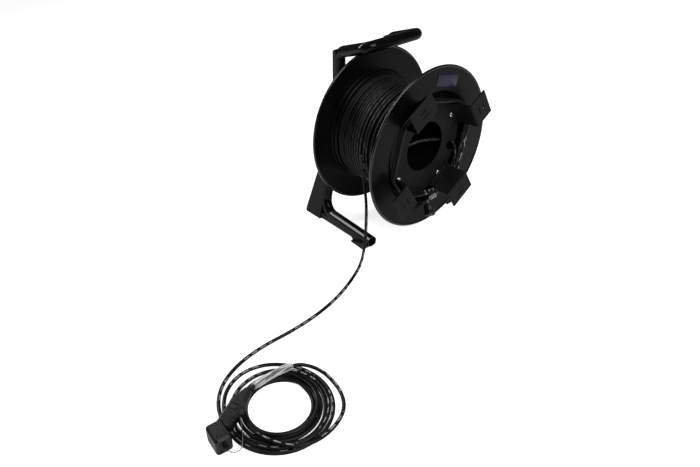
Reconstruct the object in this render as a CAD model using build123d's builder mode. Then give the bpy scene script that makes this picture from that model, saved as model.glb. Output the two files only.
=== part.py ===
"""Portable cable reel: bent tube frame, sheet metal drum, wound cable and a coiled free end.

Millimetres. +Z is up and the floor is z = 0. The drum turns about Y and its open side faces -Y.
"""
from build123d import *
from math import acos, cos, hypot, radians, sin, tan
import os

os.makedirs("parts", exist_ok=True)

# Drum
DRUM_R = 155.0
DRUM_HALF_WIDTH = 76.0
SHEET = 2.0
RIM_R = 2.4
AXLE_HEIGHT = 177.0
DISH_R = 108.5
DISH_DEPTH = 24.0
REAR_DISH_DEPTH = 10.0
DISH_BEND = 3.0
DISH_DRAFT = 0.1
BARREL_R = 62.0
BARREL_WALL = 2.0

# Cable
CABLE_D = 5.7
LAYER_PITCH = 5.35
LAYERS = 8
TURNS = 21

# Holder for the inner end of the cable
HOLDER_SHEET = 2.5
HOLDER_MARGIN = 16.5
HOLDER_HOLE_R = 48.0
BRACKET_ANGLES = (32.5, 122.5, 212.5, 302.5)
BRACKET_RISE = 46.5
BRACKET_LEAN = 4.6
BRACKET_HALF_WIDTH = 28.7
TAB_OVERHANG = 27.1
SLIT_OFFSET = 24.0
SLIT_LENGTH = 12.0
SLIT_WIDTH = 2.4
SLOT_LENGTH = 17.0
SLOT_WIDTH = 2.6
SLOT_SPACING = 11.5
SCREW_INSET = 10.0
SCREW_HEAD_R = 5.0
SCREW_HEAD_DEPTH = 2.8
SCREW_R = 2.5
SPACER_R = 6.5
NOTCH_ANGLE = -15.0
NOTCH_R = 10.0

# Frame tube, placed from the drum's centre
TUBE_R = 10.5
TUBE_WALL = 2.1
FOOT_FRONT = (124.0, -54.0)
FOOT_CORNER_X = 115.5
FOOT_CORNER_Y = 93.0
ARM_X = 65.0
UPRIGHT_Y = 100.0
CRANK_Z = 60.0
TUBE_LIFT = 16.0
SHOULDER_Z = 152.0
GRIP_Y = 25.0
GRIP_Z = 177.0
FOOT_BEND_R = 31.0
CRANK_BEND_R = 80.0
SHOULDER_BEND_R = 18.0
GRIP_BEND_R = 15.0

# Side guards
GUARD_REAR = 137.8
GUARD_HALF = 10.7
GUARD_BACK_TOP = 108.0
GUARD_BACK_CRANK = 109.5
GUARD_BACK_LOW = 121.0
GUARD_FLARE_RISE = 76.0
GUARD_TOP_Z = 158.0
GUARD_CORNER_R = 6.0
GUARD_FOOT_RISE = 6.0
GUARD_FOOT_TOP = 13.5
PAD_FRONT = -46.5
PAD_REAR = -11.0
PAD_HALF = 16.5

# Axle and its cross plate
PLATE_SHEET = 4.0
PLATE_HALF_HEIGHT = 36.0
PLATE_LIP = 16.0
AXLE_R = 10.0
AXLE_FRONT = 16.0
COLLAR_R = 15.0
STUD_R = 8.0
STUD_LENGTH = 13.0
NUT_R = 13.5
NUT_DEPTH = 8.0
HUB_R = 17.0
HUB_FRONT = 26.0
HUB_REAR = 86.0
HUB_PLATE_R = 36.0
RING_DEPTH = 2.0

# Clearances
RUNNING = 0.05
GAP = 0.3
SEAT = 0.1

# Loose end on the floor, placed from the drum's centre in X and Y
COIL_X = -477.0
COIL_Y = -240.0
COIL_R = 84.0
COIL_HOLE_X = -483.0
COIL_HOLE_Y = -242.0
COIL_HOLE_R = 43.0
COIL_INNER_R = 56.0
LAY = 100.0
SLEEVE_R = 5.2
BOOT_LENGTH = 29.0
BODY_LENGTH = 34.0
BODY_HALF_WIDTH = 11.0
BODY_HALF_HEIGHT = 9.0
CAP_LENGTH = 24.0
CAP_HALF_WIDTH = 17.0
CAP_HALF_HEIGHT = 13.0
NUB_R = 3.2
NUB_LENGTH = 8.0
LANYARD_R = 0.7

# Inner end of the cable
WRAP_BEND_R = 28.0
WRAP_START = 70.0
WRAP_ADVANCE = 7.0
WRAP_BRACKETS = 9
PLUG_R = 9.5
PLUG_RING_R = 10.2
PLUG_RING_DEPTH = 5.0
PLUG_BORE_R = 7.0
PLUG_BORE_DEPTH = 3.0
PLUG_REAR_OUT = 22.2
PLUG_FRONT_OUT = 37.3
PLUG_REAR_BACK = 22.2
PLUG_FRONT_BACK = 8.2
ENTRY_FORWARD = 25.0
ENTRY_DROP = 12.0

HOLDER_FRONT = DRUM_HALF_WIDTH - DISH_DEPTH + HOLDER_SHEET + CABLE_D + 2.0
TAB_FRONT = HOLDER_FRONT + BRACKET_RISE
HOLDER_R = DISH_R - HOLDER_MARGIN
HOLDER_BEND_R = HOLDER_R - 2.0
TAB_REACH = DISH_R + TAB_OVERHANG
SCREW_CIRCLE_R = HOLDER_R - SCREW_INSET
NOTCH_MID_R = HOLDER_R - NOTCH_R
TAB_START_R = HOLDER_BEND_R + BRACKET_LEAN
DISH_FRONT = DRUM_HALF_WIDTH - DISH_DEPTH
DRUM_Y = (TAB_FRONT - GUARD_REAR) / 2
CENTRE = Vector(0, DRUM_Y, AXLE_HEIGHT)
AXIS = Axis(CENTRE, (0, 1, 0))
PROFILE = Plane(origin=CENTRE, x_dir=(1, 0, 0), z_dir=(0, 0, 1))
WIND_FRONT = -(DISH_FRONT - SHEET - GAP)
WIND_REAR = DRUM_HALF_WIDTH - REAR_DISH_DEPTH - SHEET - GAP
WIND_BORE = BARREL_R + GAP
WIND_R = WIND_BORE + LAYERS * LAYER_PITCH


def at(x, y, z):
    """A point given from the drum's centre."""
    return CENTRE + Vector(x, y, z)


def on_floor(x, y, z):
    """A point given by the drum's centre in X and Y and the floor in Z."""
    return Vector(x, y + DRUM_Y, z)


def laid(x, y, z):
    """A point of the loose end: X and Y in units of its lay, Z in millimetres from the floor."""
    return on_floor(x * LAY, y * LAY, z)


def swung(radius, angle, forward):
    """A point by its distance from the axle, its angle seen from the front and how far forward it is."""
    return at(radius * cos(radians(angle)), -forward, radius * sin(radians(angle)))


def front_plane(y):
    """Sketch plane seen from the front, X to the right and Z up."""
    return Plane(origin=at(0, y, 0), x_dir=(1, 0, 0), z_dir=(0, -1, 0))


def radial_plane(angle):
    """Sketch plane through the axle: x runs outwards at the angle, y runs forwards."""
    outwards = Vector(cos(radians(angle)), 0, sin(radians(angle)))
    return Plane(origin=CENTRE, x_dir=outwards, z_dir=outwards.cross(Vector(0, -1, 0)))


def route_radii(points):
    """Bend radii that use 0.45 of the shorter run at each corner."""
    radii = []
    for before, corner, after in zip(points, points[1:], points[2:]):
        run_in = corner - before
        run_out = after - corner
        cosine = run_in.dot(run_out) / (run_in.length * run_out.length)
        turn = acos(max(-1.0, min(1.0, cosine)))
        radii.append(0.45 * min(run_in.length, run_out.length) / tan(turn / 2))
    return radii


def report_route(name, points):
    """Prints a route's runs and radii and gives the radii back."""
    radii = route_radii(points)
    runs = [(b - a).length for a, b in zip(points, points[1:])]
    print(name, "runs", [round(run) for run in runs], "radii", [round(r) for r in radii])
    return radii


def route_length(path):
    """Length of a route's runs and arcs."""
    return round(sum(edge.length for edge in path.edges()))


# Sheet metal drum


def flange_path(side, inner_r, depth):
    """Middle line of a flange: dished disc, step and flat annulus. Side -1 is the front."""
    outer_y = side * (DRUM_HALF_WIDTH - SHEET / 2)
    inner_y = outer_y - side * depth
    return [
        (inner_r, inner_y),
        (DISH_R - depth * DISH_DRAFT, inner_y),
        (DISH_R, outer_y),
        (DRUM_R - RIM_R, outer_y),
    ]


FRONT_PATH = flange_path(-1, BARREL_R - BARREL_WALL, DISH_DEPTH)
REAR_PATH = flange_path(1, HUB_R + SEAT, REAR_DISH_DEPTH)

with BuildPart() as front_flange:
    with BuildSketch(PROFILE):
        with BuildLine():
            FilletPolyline(*FRONT_PATH, radius=DISH_BEND)
        trace(line_width=SHEET)
        with Locations(FRONT_PATH[-1]):
            Circle(RIM_R)
    revolve(axis=AXIS)
front_flange.part.label = "front_flange"
export_step(front_flange.part, "parts/front_flange.step")

with BuildPart() as rear_flange:
    with BuildSketch(PROFILE):
        with BuildLine():
            FilletPolyline(*REAR_PATH, radius=DISH_BEND)
        trace(line_width=SHEET)
        with Locations(REAR_PATH[-1]):
            Circle(RIM_R)
    revolve(axis=AXIS)
rear_flange.part.label = "rear_flange"
export_step(rear_flange.part, "parts/rear_flange.step")

with BuildPart() as barrel:
    with BuildSketch(PROFILE):
        front_end = -DISH_FRONT + SHEET
        rear_end = DRUM_HALF_WIDTH - REAR_DISH_DEPTH - SHEET
        with Locations((BARREL_R - BARREL_WALL / 2, (front_end + rear_end) / 2)):
            Rectangle(BARREL_WALL, rear_end - front_end)
    revolve(axis=AXIS)
    entry = at(-BARREL_R, -ENTRY_FORWARD, -ENTRY_DROP)
    with BuildSketch(Plane(origin=entry, x_dir=(0, 1, 0), z_dir=(-1, 0, 0))):
        Circle(CABLE_D * 0.75)
    extrude(amount=CABLE_D, both=True, mode=Mode.SUBTRACT)
barrel.part.label = "barrel"
export_step(barrel.part, "parts/barrel.step")

with BuildPart() as hub:
    with BuildSketch(PROFILE):
        with Locations(((AXLE_R + RUNNING + HUB_R) / 2, (HUB_FRONT + HUB_REAR) / 2)):
            Rectangle(HUB_R - AXLE_R - RUNNING, HUB_REAR - HUB_FRONT)
        with Locations(((HUB_R + HUB_PLATE_R) / 2, DRUM_HALF_WIDTH - REAR_DISH_DEPTH + SHEET)):
            Rectangle(HUB_PLATE_R - HUB_R, 2 * SHEET)
    revolve(axis=AXIS)
hub.part.label = "hub"
export_step(hub.part, "parts/hub.step")


# Wound cable


def winding_outline():
    """Half section of the winding: one ridge for each turn on all three open sides."""
    width = (WIND_REAR - WIND_FRONT) / TURNS
    groove = CABLE_D * 0.2
    front = [(WIND_BORE, WIND_FRONT + groove)]
    outside = []
    for layer in range(LAYERS):
        low = WIND_BORE + layer * LAYER_PITCH
        front += [(low + LAYER_PITCH / 2, WIND_FRONT), (low + LAYER_PITCH, WIND_FRONT + groove)]
    for turn in range(TURNS):
        start = WIND_FRONT + turn * width
        outside += [(WIND_R, start + width / 2), (WIND_R - groove, start + width)]
    front[-1] = (WIND_R - groove, WIND_FRONT + groove)
    outside[-1] = (WIND_R - groove, WIND_REAR - groove)
    rear = [(radius, WIND_FRONT + WIND_REAR - y) for radius, y in reversed(front[:-1])]
    return front + outside + rear


with BuildPart() as winding:
    with BuildSketch(PROFILE):
        with BuildLine():
            Polyline(*winding_outline(), close=True)
        make_face()
    revolve(axis=AXIS)
winding.part.label = "winding"
export_step(winding.part, "parts/winding.step")


# Holder for the inner end: a ring with four cranked brackets

with BuildPart() as tail_holder:
    with BuildSketch(front_plane(-HOLDER_FRONT)):
        Circle(HOLDER_R)
        Circle(HOLDER_HOLE_R, mode=Mode.SUBTRACT)
        with PolarLocations(HOLDER_R - NOTCH_R, 1, start_angle=NOTCH_ANGLE):
            SlotOverall(3.2 * NOTCH_R, 2 * NOTCH_R, mode=Mode.SUBTRACT)
    extrude(amount=-HOLDER_SHEET)
    for angle in BRACKET_ANGLES:
        with BuildSketch(radial_plane(angle)):
            with BuildLine():
                FilletPolyline(
                    (HOLDER_BEND_R - SLIT_LENGTH, HOLDER_FRONT - HOLDER_SHEET / 2),
                    (HOLDER_BEND_R, HOLDER_FRONT - HOLDER_SHEET / 2),
                    (TAB_START_R, TAB_FRONT - HOLDER_SHEET / 2),
                    (TAB_REACH, TAB_FRONT - HOLDER_SHEET / 2),
                    radius=HOLDER_SHEET,
                )
            trace(line_width=HOLDER_SHEET)
        extrude(amount=BRACKET_HALF_WIDTH, both=True)
    with BuildSketch(front_plane(-TAB_FRONT)):
        with PolarLocations((TAB_START_R + TAB_REACH) / 2, 4, start_angle=BRACKET_ANGLES[0]):
            with Locations((SLOT_SPACING / 2, 0), (-SLOT_SPACING / 2, 0)):
                SlotOverall(SLOT_LENGTH, SLOT_WIDTH, rotation=90)
    extrude(amount=-2 * HOLDER_SHEET, mode=Mode.SUBTRACT)
    with BuildSketch(front_plane(-HOLDER_FRONT - HOLDER_SHEET)):
        with PolarLocations(HOLDER_BEND_R - SLIT_LENGTH / 2, 4, start_angle=BRACKET_ANGLES[0]):
            with Locations((1, SLIT_OFFSET), (1, -SLIT_OFFSET)):
                Rectangle(SLIT_LENGTH + 4, SLIT_WIDTH)
        with PolarLocations(SCREW_CIRCLE_R, 4, start_angle=BRACKET_ANGLES[0]):
            Circle(SCREW_R)
    extrude(amount=-3 * HOLDER_SHEET, mode=Mode.SUBTRACT)
tail_holder.part.label = "tail_holder"
export_step(tail_holder.part, "parts/tail_holder.step")

for number, angle in enumerate(BRACKET_ANGLES, start=1):
    screw_x = SCREW_CIRCLE_R * cos(radians(angle))
    screw_z = SCREW_CIRCLE_R * sin(radians(angle))
    with BuildPart() as spacer:
        with BuildSketch(front_plane(-DISH_FRONT)):
            with Locations((screw_x, screw_z)):
                Circle(SPACER_R)
                Circle(SCREW_R, mode=Mode.SUBTRACT)
        extrude(amount=HOLDER_FRONT - HOLDER_SHEET - DISH_FRONT)
    spacer.part.label = f"holder_spacer_{number}"
    export_step(spacer.part, f"parts/holder_spacer_{number}.step")

    with BuildPart() as screw:
        with BuildSketch(front_plane(-HOLDER_FRONT)):
            with Locations((screw_x, screw_z)):
                Circle(SCREW_HEAD_R)
        extrude(amount=SCREW_HEAD_DEPTH)
        fillet(screw.edges().group_by(Axis.Y)[0], SCREW_HEAD_DEPTH * 0.6)
        with BuildSketch(front_plane(-HOLDER_FRONT)):
            with Locations((screw_x, screw_z)):
                Circle(SCREW_R - SEAT)
        extrude(amount=-(HOLDER_FRONT - DISH_FRONT))
    screw.part.label = f"holder_screw_{number}"
    export_step(screw.part, f"parts/holder_screw_{number}.step")


# Inner end of the cable: in through the barrel, out through the notch and round the brackets


WRAP_TURN = 45.0
WRAP_STAND = WRAP_BEND_R / cos(radians(WRAP_TURN / 2)) - WRAP_BEND_R + CABLE_D / 2 + GAP


def wrap_point(angle, side, forward):
    """A corner of the wrapped tail just outside one edge of a bracket's cranked web."""
    rise = (forward - HOLDER_FRONT) / BRACKET_RISE
    web_r = HOLDER_BEND_R + BRACKET_LEAN * rise + HOLDER_SHEET / 2
    radial = web_r + WRAP_STAND * cos(radians(WRAP_TURN / 2))
    across = side * (BRACKET_HALF_WIDTH + WRAP_STAND * sin(radians(WRAP_TURN / 2)))
    x = radial * cos(radians(angle)) - across * sin(radians(angle))
    z = radial * sin(radians(angle)) + across * cos(radians(angle))
    return at(x, -forward, z)


def wrap_points():
    """Two corners at each bracket, going clockwise seen from the front and moving forwards."""
    points = []
    forward = WRAP_START
    for step in range(WRAP_BRACKETS):
        for side in (1, -1):
            points.append(wrap_point(BRACKET_ANGLES[3] - 90 * step, side, forward))
            forward += WRAP_ADVANCE / 8
    return points


TAIL_CLIMB = DISH_FRONT + CABLE_D * 0.66 - ENTRY_FORWARD
TAIL_IN = [
    at(-BARREL_R + BARREL_WALL, -ENTRY_FORWARD, -ENTRY_DROP),
    at(-0.55 * BARREL_R, -ENTRY_FORWARD - 0.2 * TAIL_CLIMB, -0.5 * ENTRY_DROP),
    at(0.13 * BARREL_R, -ENTRY_FORWARD - 0.55 * TAIL_CLIMB, 0.25 * ENTRY_DROP),
    at(0.8 * BARREL_R, -ENTRY_FORWARD - TAIL_CLIMB, -0.25 * ENTRY_DROP),
    swung(NOTCH_MID_R - NOTCH_R / 3, NOTCH_ANGLE / 2, DISH_FRONT + CABLE_D * 0.71),
    swung(HOLDER_R, NOTCH_ANGLE, HOLDER_FRONT + CABLE_D * 0.14),
    swung(HOLDER_BEND_R + CABLE_D, NOTCH_ANGLE - 11.7, HOLDER_FRONT + CABLE_D * 1.05),
]
PLUG_REAR = swung(HOLDER_BEND_R + PLUG_REAR_OUT, -93, TAB_FRONT - PLUG_REAR_BACK)
PLUG_FRONT = swung(HOLDER_BEND_R + PLUG_FRONT_OUT, -96.5, TAB_FRONT - PLUG_FRONT_BACK)
PLUG_AXIS = (PLUG_FRONT - PLUG_REAR).normalized()
TAIL_ROUTE = [*TAIL_IN, *wrap_points(), PLUG_REAR - PLUG_AXIS * PLUG_R, PLUG_REAR]
tail_radii = report_route("inner tail", TAIL_ROUTE)
wrap_start = len(TAIL_IN) - 1
tail_radii[wrap_start : wrap_start + 2 * WRAP_BRACKETS] = [WRAP_BEND_R] * (2 * WRAP_BRACKETS)

with BuildPart() as inner_tail:
    with BuildLine() as tail_path:
        FilletPolyline(*TAIL_ROUTE, radius=tail_radii)
    with BuildSketch(Plane(origin=tail_path.line @ 0, z_dir=tail_path.line % 0)):
        Circle(CABLE_D / 2)
    sweep()
inner_tail.part.label = "inner_tail"
export_step(inner_tail.part, "parts/inner_tail.step")
print("inner tail length", route_length(tail_path))

TAIL_RUN = TAIL_ROUTE[-2] - TAIL_ROUTE[-3]
SLEEVE_INSET = TAIL_RUN.normalized() * PLUG_R
with BuildPart() as tail_sleeve:
    with BuildSketch(Plane(origin=TAIL_ROUTE[-3] + SLEEVE_INSET, z_dir=TAIL_RUN)):
        Circle(WRAP_ADVANCE - CABLE_D / 2 - GAP)
        Circle(CABLE_D / 2 + SEAT, mode=Mode.SUBTRACT)
    extrude(amount=TAIL_RUN.length - 1.6 * PLUG_R)
tail_sleeve.part.label = "tail_sleeve"
export_step(tail_sleeve.part, "parts/tail_sleeve.step")

with BuildPart() as inner_connector:
    with BuildSketch(Plane(origin=PLUG_REAR, z_dir=PLUG_AXIS)):
        Circle(PLUG_R)
    extrude(amount=(PLUG_FRONT - PLUG_REAR).length)
    with BuildSketch(Plane(origin=PLUG_FRONT, z_dir=-PLUG_AXIS)):
        Circle(PLUG_RING_R)
    extrude(amount=PLUG_RING_DEPTH)
    with BuildSketch(Plane(origin=PLUG_FRONT, z_dir=-PLUG_AXIS)):
        Circle(PLUG_BORE_R)
    extrude(amount=PLUG_BORE_DEPTH, mode=Mode.SUBTRACT)
inner_connector.part.label = "inner_connector"
export_step(inner_connector.part, "parts/inner_connector.step")


# Frame: one bent tube


def tube_route():
    """Corners of the frame tube from the left foot over the grip to the right foot."""
    foot_z = TUBE_LIFT - AXLE_HEIGHT
    half = [
        at(-FOOT_FRONT[0], FOOT_FRONT[1], foot_z),
        at(-FOOT_CORNER_X, FOOT_CORNER_Y, foot_z),
        at(-ARM_X, UPRIGHT_Y, CRANK_Z),
        at(-ARM_X, UPRIGHT_Y, SHOULDER_Z),
        at(-ARM_X, GRIP_Y, GRIP_Z),
    ]
    return half + [Vector(-point.X, point.Y, point.Z) for point in reversed(half)]


TUBE_ROUTE = tube_route()
HALF_BENDS = [FOOT_BEND_R, CRANK_BEND_R, SHOULDER_BEND_R, GRIP_BEND_R]
TUBE_BENDS = HALF_BENDS + HALF_BENDS[::-1]


def tube_end():
    """Sketch plane across the left foot's open end."""
    return Plane(origin=TUBE_ROUTE[0], z_dir=TUBE_ROUTE[1] - TUBE_ROUTE[0])


with BuildPart() as frame_tube:
    with BuildLine():
        FilletPolyline(*TUBE_ROUTE, radius=TUBE_BENDS)
    with BuildSketch(tube_end()):
        Circle(TUBE_R)
        Circle(TUBE_R - TUBE_WALL, mode=Mode.SUBTRACT)
    sweep()
frame_tube.part.label = "frame_tube"
export_step(frame_tube.part, "parts/frame_tube.step")

LEAN = (TUBE_ROUTE[2] - TUBE_ROUTE[1]).normalized()
LEAN_PLANE = Plane(origin=TUBE_ROUTE[1], x_dir=(0, 1, 0), z_dir=Vector(0, 1, 0).cross(LEAN))
LEAN_HEIGHT = hypot(FOOT_CORNER_X - ARM_X, CRANK_Z + AXLE_HEIGHT - TUBE_LIFT)
CRANK_PLANE = Plane(origin=TUBE_ROUTE[2], x_dir=(0, 1, 0), z_dir=(1, 0, 0))
FOOT_LINE = (TUBE_ROUTE[1] - TUBE_ROUTE[0]).normalized()
FOOT_PLANE = Plane(origin=TUBE_ROUTE[1], x_dir=FOOT_LINE, z_dir=FOOT_LINE.cross(Vector(0, 0, 1)))
HEEL = GUARD_REAR - FOOT_CORNER_Y
TOE = PAD_FRONT - FOOT_CORNER_Y
PAD_HEEL = PAD_REAR - FOOT_CORNER_Y

with BuildPart() as left_guard:
    with BuildSketch(CRANK_PLANE):
        with BuildLine():
            Polyline(
                (0, -GUARD_HALF),
                (GUARD_BACK_CRANK - UPRIGHT_Y, -GUARD_HALF),
                (GUARD_BACK_TOP - UPRIGHT_Y, GUARD_TOP_Z - CRANK_Z),
                (0, GUARD_TOP_Z - CRANK_Z),
                close=True,
            )
        guard_side = make_face()
        top_corner = guard_side.vertices().sort_by(lambda corner: corner.X + corner.Y)[-1]
        fillet(top_corner, GUARD_CORNER_R)
    extrude(amount=GUARD_HALF, both=True)
    with BuildSketch(LEAN_PLANE):
        with BuildLine():
            Polyline(
                (0, -TUBE_LIFT - TUBE_R),
                (HEEL, -TUBE_LIFT - TUBE_R),
                (HEEL, GUARD_FOOT_RISE - TUBE_LIFT),
                (GUARD_BACK_LOW - FOOT_CORNER_Y, GUARD_FLARE_RISE),
                (GUARD_BACK_CRANK - FOOT_CORNER_Y, LEAN_HEIGHT),
                (UPRIGHT_Y - FOOT_CORNER_Y, LEAN_HEIGHT),
                close=True,
            )
        make_face()
    extrude(amount=GUARD_HALF, both=True)
    with BuildSketch(FOOT_PLANE):
        with BuildLine():
            Polyline(
                (TOE, -TUBE_LIFT),
                (PAD_HEEL, -TUBE_LIFT),
                (PAD_HEEL + GUARD_FOOT_RISE, GUARD_FOOT_RISE - TUBE_LIFT),
                (HEEL / 2, -TUBE_LIFT),
                (HEEL / 2, GUARD_FOOT_TOP - TUBE_LIFT),
                (TOE, GUARD_FOOT_TOP - TUBE_LIFT),
                close=True,
            )
        make_face()
    extrude(amount=GUARD_HALF, both=True)
    with BuildSketch(FOOT_PLANE):
        with BuildLine():
            Polyline(
                (TOE, -TUBE_LIFT),
                (PAD_HEEL, -TUBE_LIFT),
                (PAD_HEEL, GUARD_FOOT_RISE / 2 - TUBE_LIFT),
                (TOE, GUARD_FOOT_TOP - TUBE_LIFT),
                close=True,
            )
        make_face()
    extrude(amount=PAD_HALF, both=True)
    with BuildSketch(Plane.XY):
        Rectangle(4 * DRUM_R, 4 * DRUM_R)
    extrude(amount=-4 * TUBE_R, mode=Mode.SUBTRACT)
    with BuildLine():
        FilletPolyline(*TUBE_ROUTE[:5], radius=HALF_BENDS[:3])
    with BuildSketch(tube_end()):
        Circle(TUBE_R + SEAT)
    sweep(mode=Mode.SUBTRACT)
left_guard.part.label = "left_guard"
export_step(left_guard.part, "parts/left_guard.step")

with BuildPart() as right_guard:
    mirror(left_guard.part, about=Plane.YZ)
right_guard.part.label = "right_guard"
export_step(right_guard.part, "parts/right_guard.step")


# Cross plate, axle and nut

PLATE_EDGE = PLATE_HALF_HEIGHT + PLATE_SHEET


def plate_half_width(z):
    """Half width of the cross plate, so that it ends at the leaning guards' inner sides."""
    climb = (CRANK_Z - z) / (CRANK_Z + AXLE_HEIGHT - TUBE_LIFT)
    tube_x = ARM_X + (FOOT_CORNER_X - ARM_X) * climb
    return tube_x - GUARD_HALF / LEAN.dot(Vector(0, 0, 1)) - SEAT


with BuildPart() as cross_plate:
    with BuildSketch(Plane.YZ):
        with Locations((DRUM_Y + UPRIGHT_Y, AXLE_HEIGHT)):
            Rectangle(PLATE_SHEET, 2 * PLATE_HALF_HEIGHT)
        with Locations(
            (DRUM_Y + UPRIGHT_Y + PLATE_LIP / 2, AXLE_HEIGHT + PLATE_HALF_HEIGHT),
            (DRUM_Y + UPRIGHT_Y + PLATE_LIP / 2, AXLE_HEIGHT - PLATE_HALF_HEIGHT),
        ):
            Rectangle(PLATE_LIP + PLATE_SHEET, PLATE_SHEET)
    extrude(amount=FOOT_CORNER_X, both=True)
    with BuildSketch(front_plane(0)):
        with BuildLine():
            Polyline(
                (-plate_half_width(-PLATE_EDGE), -PLATE_EDGE),
                (plate_half_width(-PLATE_EDGE), -PLATE_EDGE),
                (plate_half_width(PLATE_EDGE), PLATE_EDGE),
                (-plate_half_width(PLATE_EDGE), PLATE_EDGE),
                close=True,
            )
        make_face()
    extrude(amount=-2 * UPRIGHT_Y, mode=Mode.INTERSECT)
    with BuildSketch(front_plane(UPRIGHT_Y - PLATE_LIP)):
        Circle(STUD_R + SEAT)
    extrude(amount=-2 * PLATE_LIP, mode=Mode.SUBTRACT)
    with BuildLine():
        FilletPolyline(*TUBE_ROUTE, radius=TUBE_BENDS)
    with BuildSketch(tube_end()):
        Circle(TUBE_R + SEAT)
    sweep(mode=Mode.SUBTRACT)
print("cross plate solids", len(cross_plate.solids()))
cross_plate.part.label = "cross_plate"
export_step(cross_plate.part, "parts/cross_plate.step")

PLATE_FRONT = UPRIGHT_Y - PLATE_SHEET / 2
PLATE_BACK = UPRIGHT_Y + PLATE_SHEET / 2

with BuildPart() as axle:
    with BuildSketch(PROFILE):
        with BuildLine():
            Polyline(
                (0, AXLE_FRONT),
                (AXLE_R, AXLE_FRONT),
                (AXLE_R, HUB_REAR + GAP),
                (COLLAR_R, HUB_REAR + GAP),
                (COLLAR_R, PLATE_FRONT),
                (STUD_R, PLATE_FRONT),
                (STUD_R, PLATE_BACK + STUD_LENGTH),
                (0, PLATE_BACK + STUD_LENGTH),
                close=True,
            )
        make_face()
    revolve(axis=AXIS)
axle.part.label = "axle"
export_step(axle.part, "parts/axle.step")

with BuildPart() as axle_nut:
    with BuildSketch(front_plane(PLATE_BACK)):
        RegularPolygon(NUT_R, 6)
        Circle(STUD_R + SEAT, mode=Mode.SUBTRACT)
    extrude(amount=-NUT_DEPTH)
axle_nut.part.label = "axle_nut"
export_step(axle_nut.part, "parts/axle_nut.step")

with BuildPart() as retaining_ring:
    with BuildSketch(front_plane(HUB_FRONT - GAP)):
        Circle(COLLAR_R)
        Circle(AXLE_R + SEAT, mode=Mode.SUBTRACT)
    extrude(amount=RING_DEPTH)
retaining_ring.part.label = "retaining_ring"
export_step(retaining_ring.part, "parts/retaining_ring.step")


# Free cable: down from the winding, over the floor and into the coil

ON_FLOOR = CABLE_D / 2
LEAVES = at(-WIND_R - GAP - ON_FLOOR, -7, 0)
LANDS = laid(-1.73, -0.77, ON_FLOOR)
DROP = LANDS - LEAVES
DROP_SHARES = ((0, 0.07, 0.25), (0.21, 0.4, 0.47), (0.49, 0.67, 0.66), (0.69, 0.83, 0.86))
FREE_ROUTE = [
    LEAVES,
    *[LEAVES + Vector(DROP.X * x, DROP.Y * y, DROP.Z * z) for x, y, z in DROP_SHARES],
    LANDS,
    laid(-2.1, -0.97, ON_FLOOR),
    laid(-2.62, -1.18, ON_FLOOR),
    laid(-3.18, -1.3, ON_FLOOR),
    laid(-3.77, -1.33, ON_FLOOR),
    laid(-4.3, -1.29, ON_FLOOR),
    laid(-4.8, -1.34, ON_FLOOR),
    laid(-5.22, -1.52, ON_FLOOR),
    laid(-5.49, -1.83, ON_FLOOR),
    laid(-5.59, -2.22, ON_FLOOR),
]
free_radii = report_route("free cable", FREE_ROUTE)

with BuildPart() as free_cable:
    with BuildLine() as free_path:
        FilletPolyline(*FREE_ROUTE, radius=free_radii)
    with BuildSketch(Plane(origin=free_path.line @ 0, z_dir=free_path.line % 0)):
        Circle(CABLE_D / 2)
    sweep()
free_cable.part.label = "free_cable"
export_step(free_cable.part, "parts/free_cable.step")
print("free cable length", route_length(free_path))

COIL_TOP = 2 * CABLE_D
with BuildPart() as cable_coil:
    with BuildSketch(Plane.XY):
        with Locations((COIL_X, COIL_Y + DRUM_Y)):
            Circle(COIL_R)
    extrude(amount=CABLE_D)
    with BuildSketch(Plane.XY):
        with Locations((COIL_X, COIL_Y + DRUM_Y)):
            Circle(COIL_INNER_R)
    extrude(amount=COIL_TOP)
    with BuildSketch(Plane.XY):
        with Locations((COIL_HOLE_X, COIL_HOLE_Y + DRUM_Y)):
            Circle(COIL_HOLE_R)
    extrude(amount=COIL_TOP, mode=Mode.SUBTRACT)
    fillet(cable_coil.edges().filter_by(GeomType.CIRCLE).group_by(Axis.Z)[-1], CABLE_D * 0.35)
cable_coil.part.label = "cable_coil"
export_step(cable_coil.part, "parts/cable_coil.step")

UP = Vector(0, 0, 1)
BOOT_REAR = laid(-5.08, -2.03, COIL_TOP + BODY_HALF_HEIGHT + 3)
CONNECTOR_AXIS = Vector(-0.92, -0.39, -0.13).normalized()
BOOT_PLANE = Plane(origin=BOOT_REAR, x_dir=UP.cross(CONNECTOR_AXIS), z_dir=CONNECTOR_AXIS)
BODY_PLANE = BOOT_PLANE.offset(BOOT_LENGTH)
END_ROUTE = [
    laid(-3.97, -2.33, CABLE_D * 0.6),
    laid(-4.08, -2.13, COIL_TOP * 0.8),
    laid(-4.27, -2.02, COIL_TOP + SLEEVE_R),
    laid(-4.78, -1.98, COIL_TOP + BODY_HALF_HEIGHT),
    BOOT_REAR,
]
end_radii = report_route("cable end", END_ROUTE)

with BuildPart() as cable_end:
    with BuildLine() as end_path:
        FilletPolyline(*END_ROUTE, radius=end_radii)
    with BuildSketch(Plane(origin=end_path.line @ 0, z_dir=end_path.line % 0)):
        Circle(CABLE_D / 2)
    sweep()
cable_end.part.label = "cable_end"
export_step(cable_end.part, "parts/cable_end.step")
print("cable end length", route_length(end_path))

SLEEVE_RUN = (END_ROUTE[3] - END_ROUTE[2]).normalized()
SLEEVE_START = END_ROUTE[2] + SLEEVE_RUN * (END_ROUTE[2] - END_ROUTE[1]).length * 0.5
SLEEVE_END = BOOT_REAR + (END_ROUTE[3] - BOOT_REAR).normalized() * 2

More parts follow.
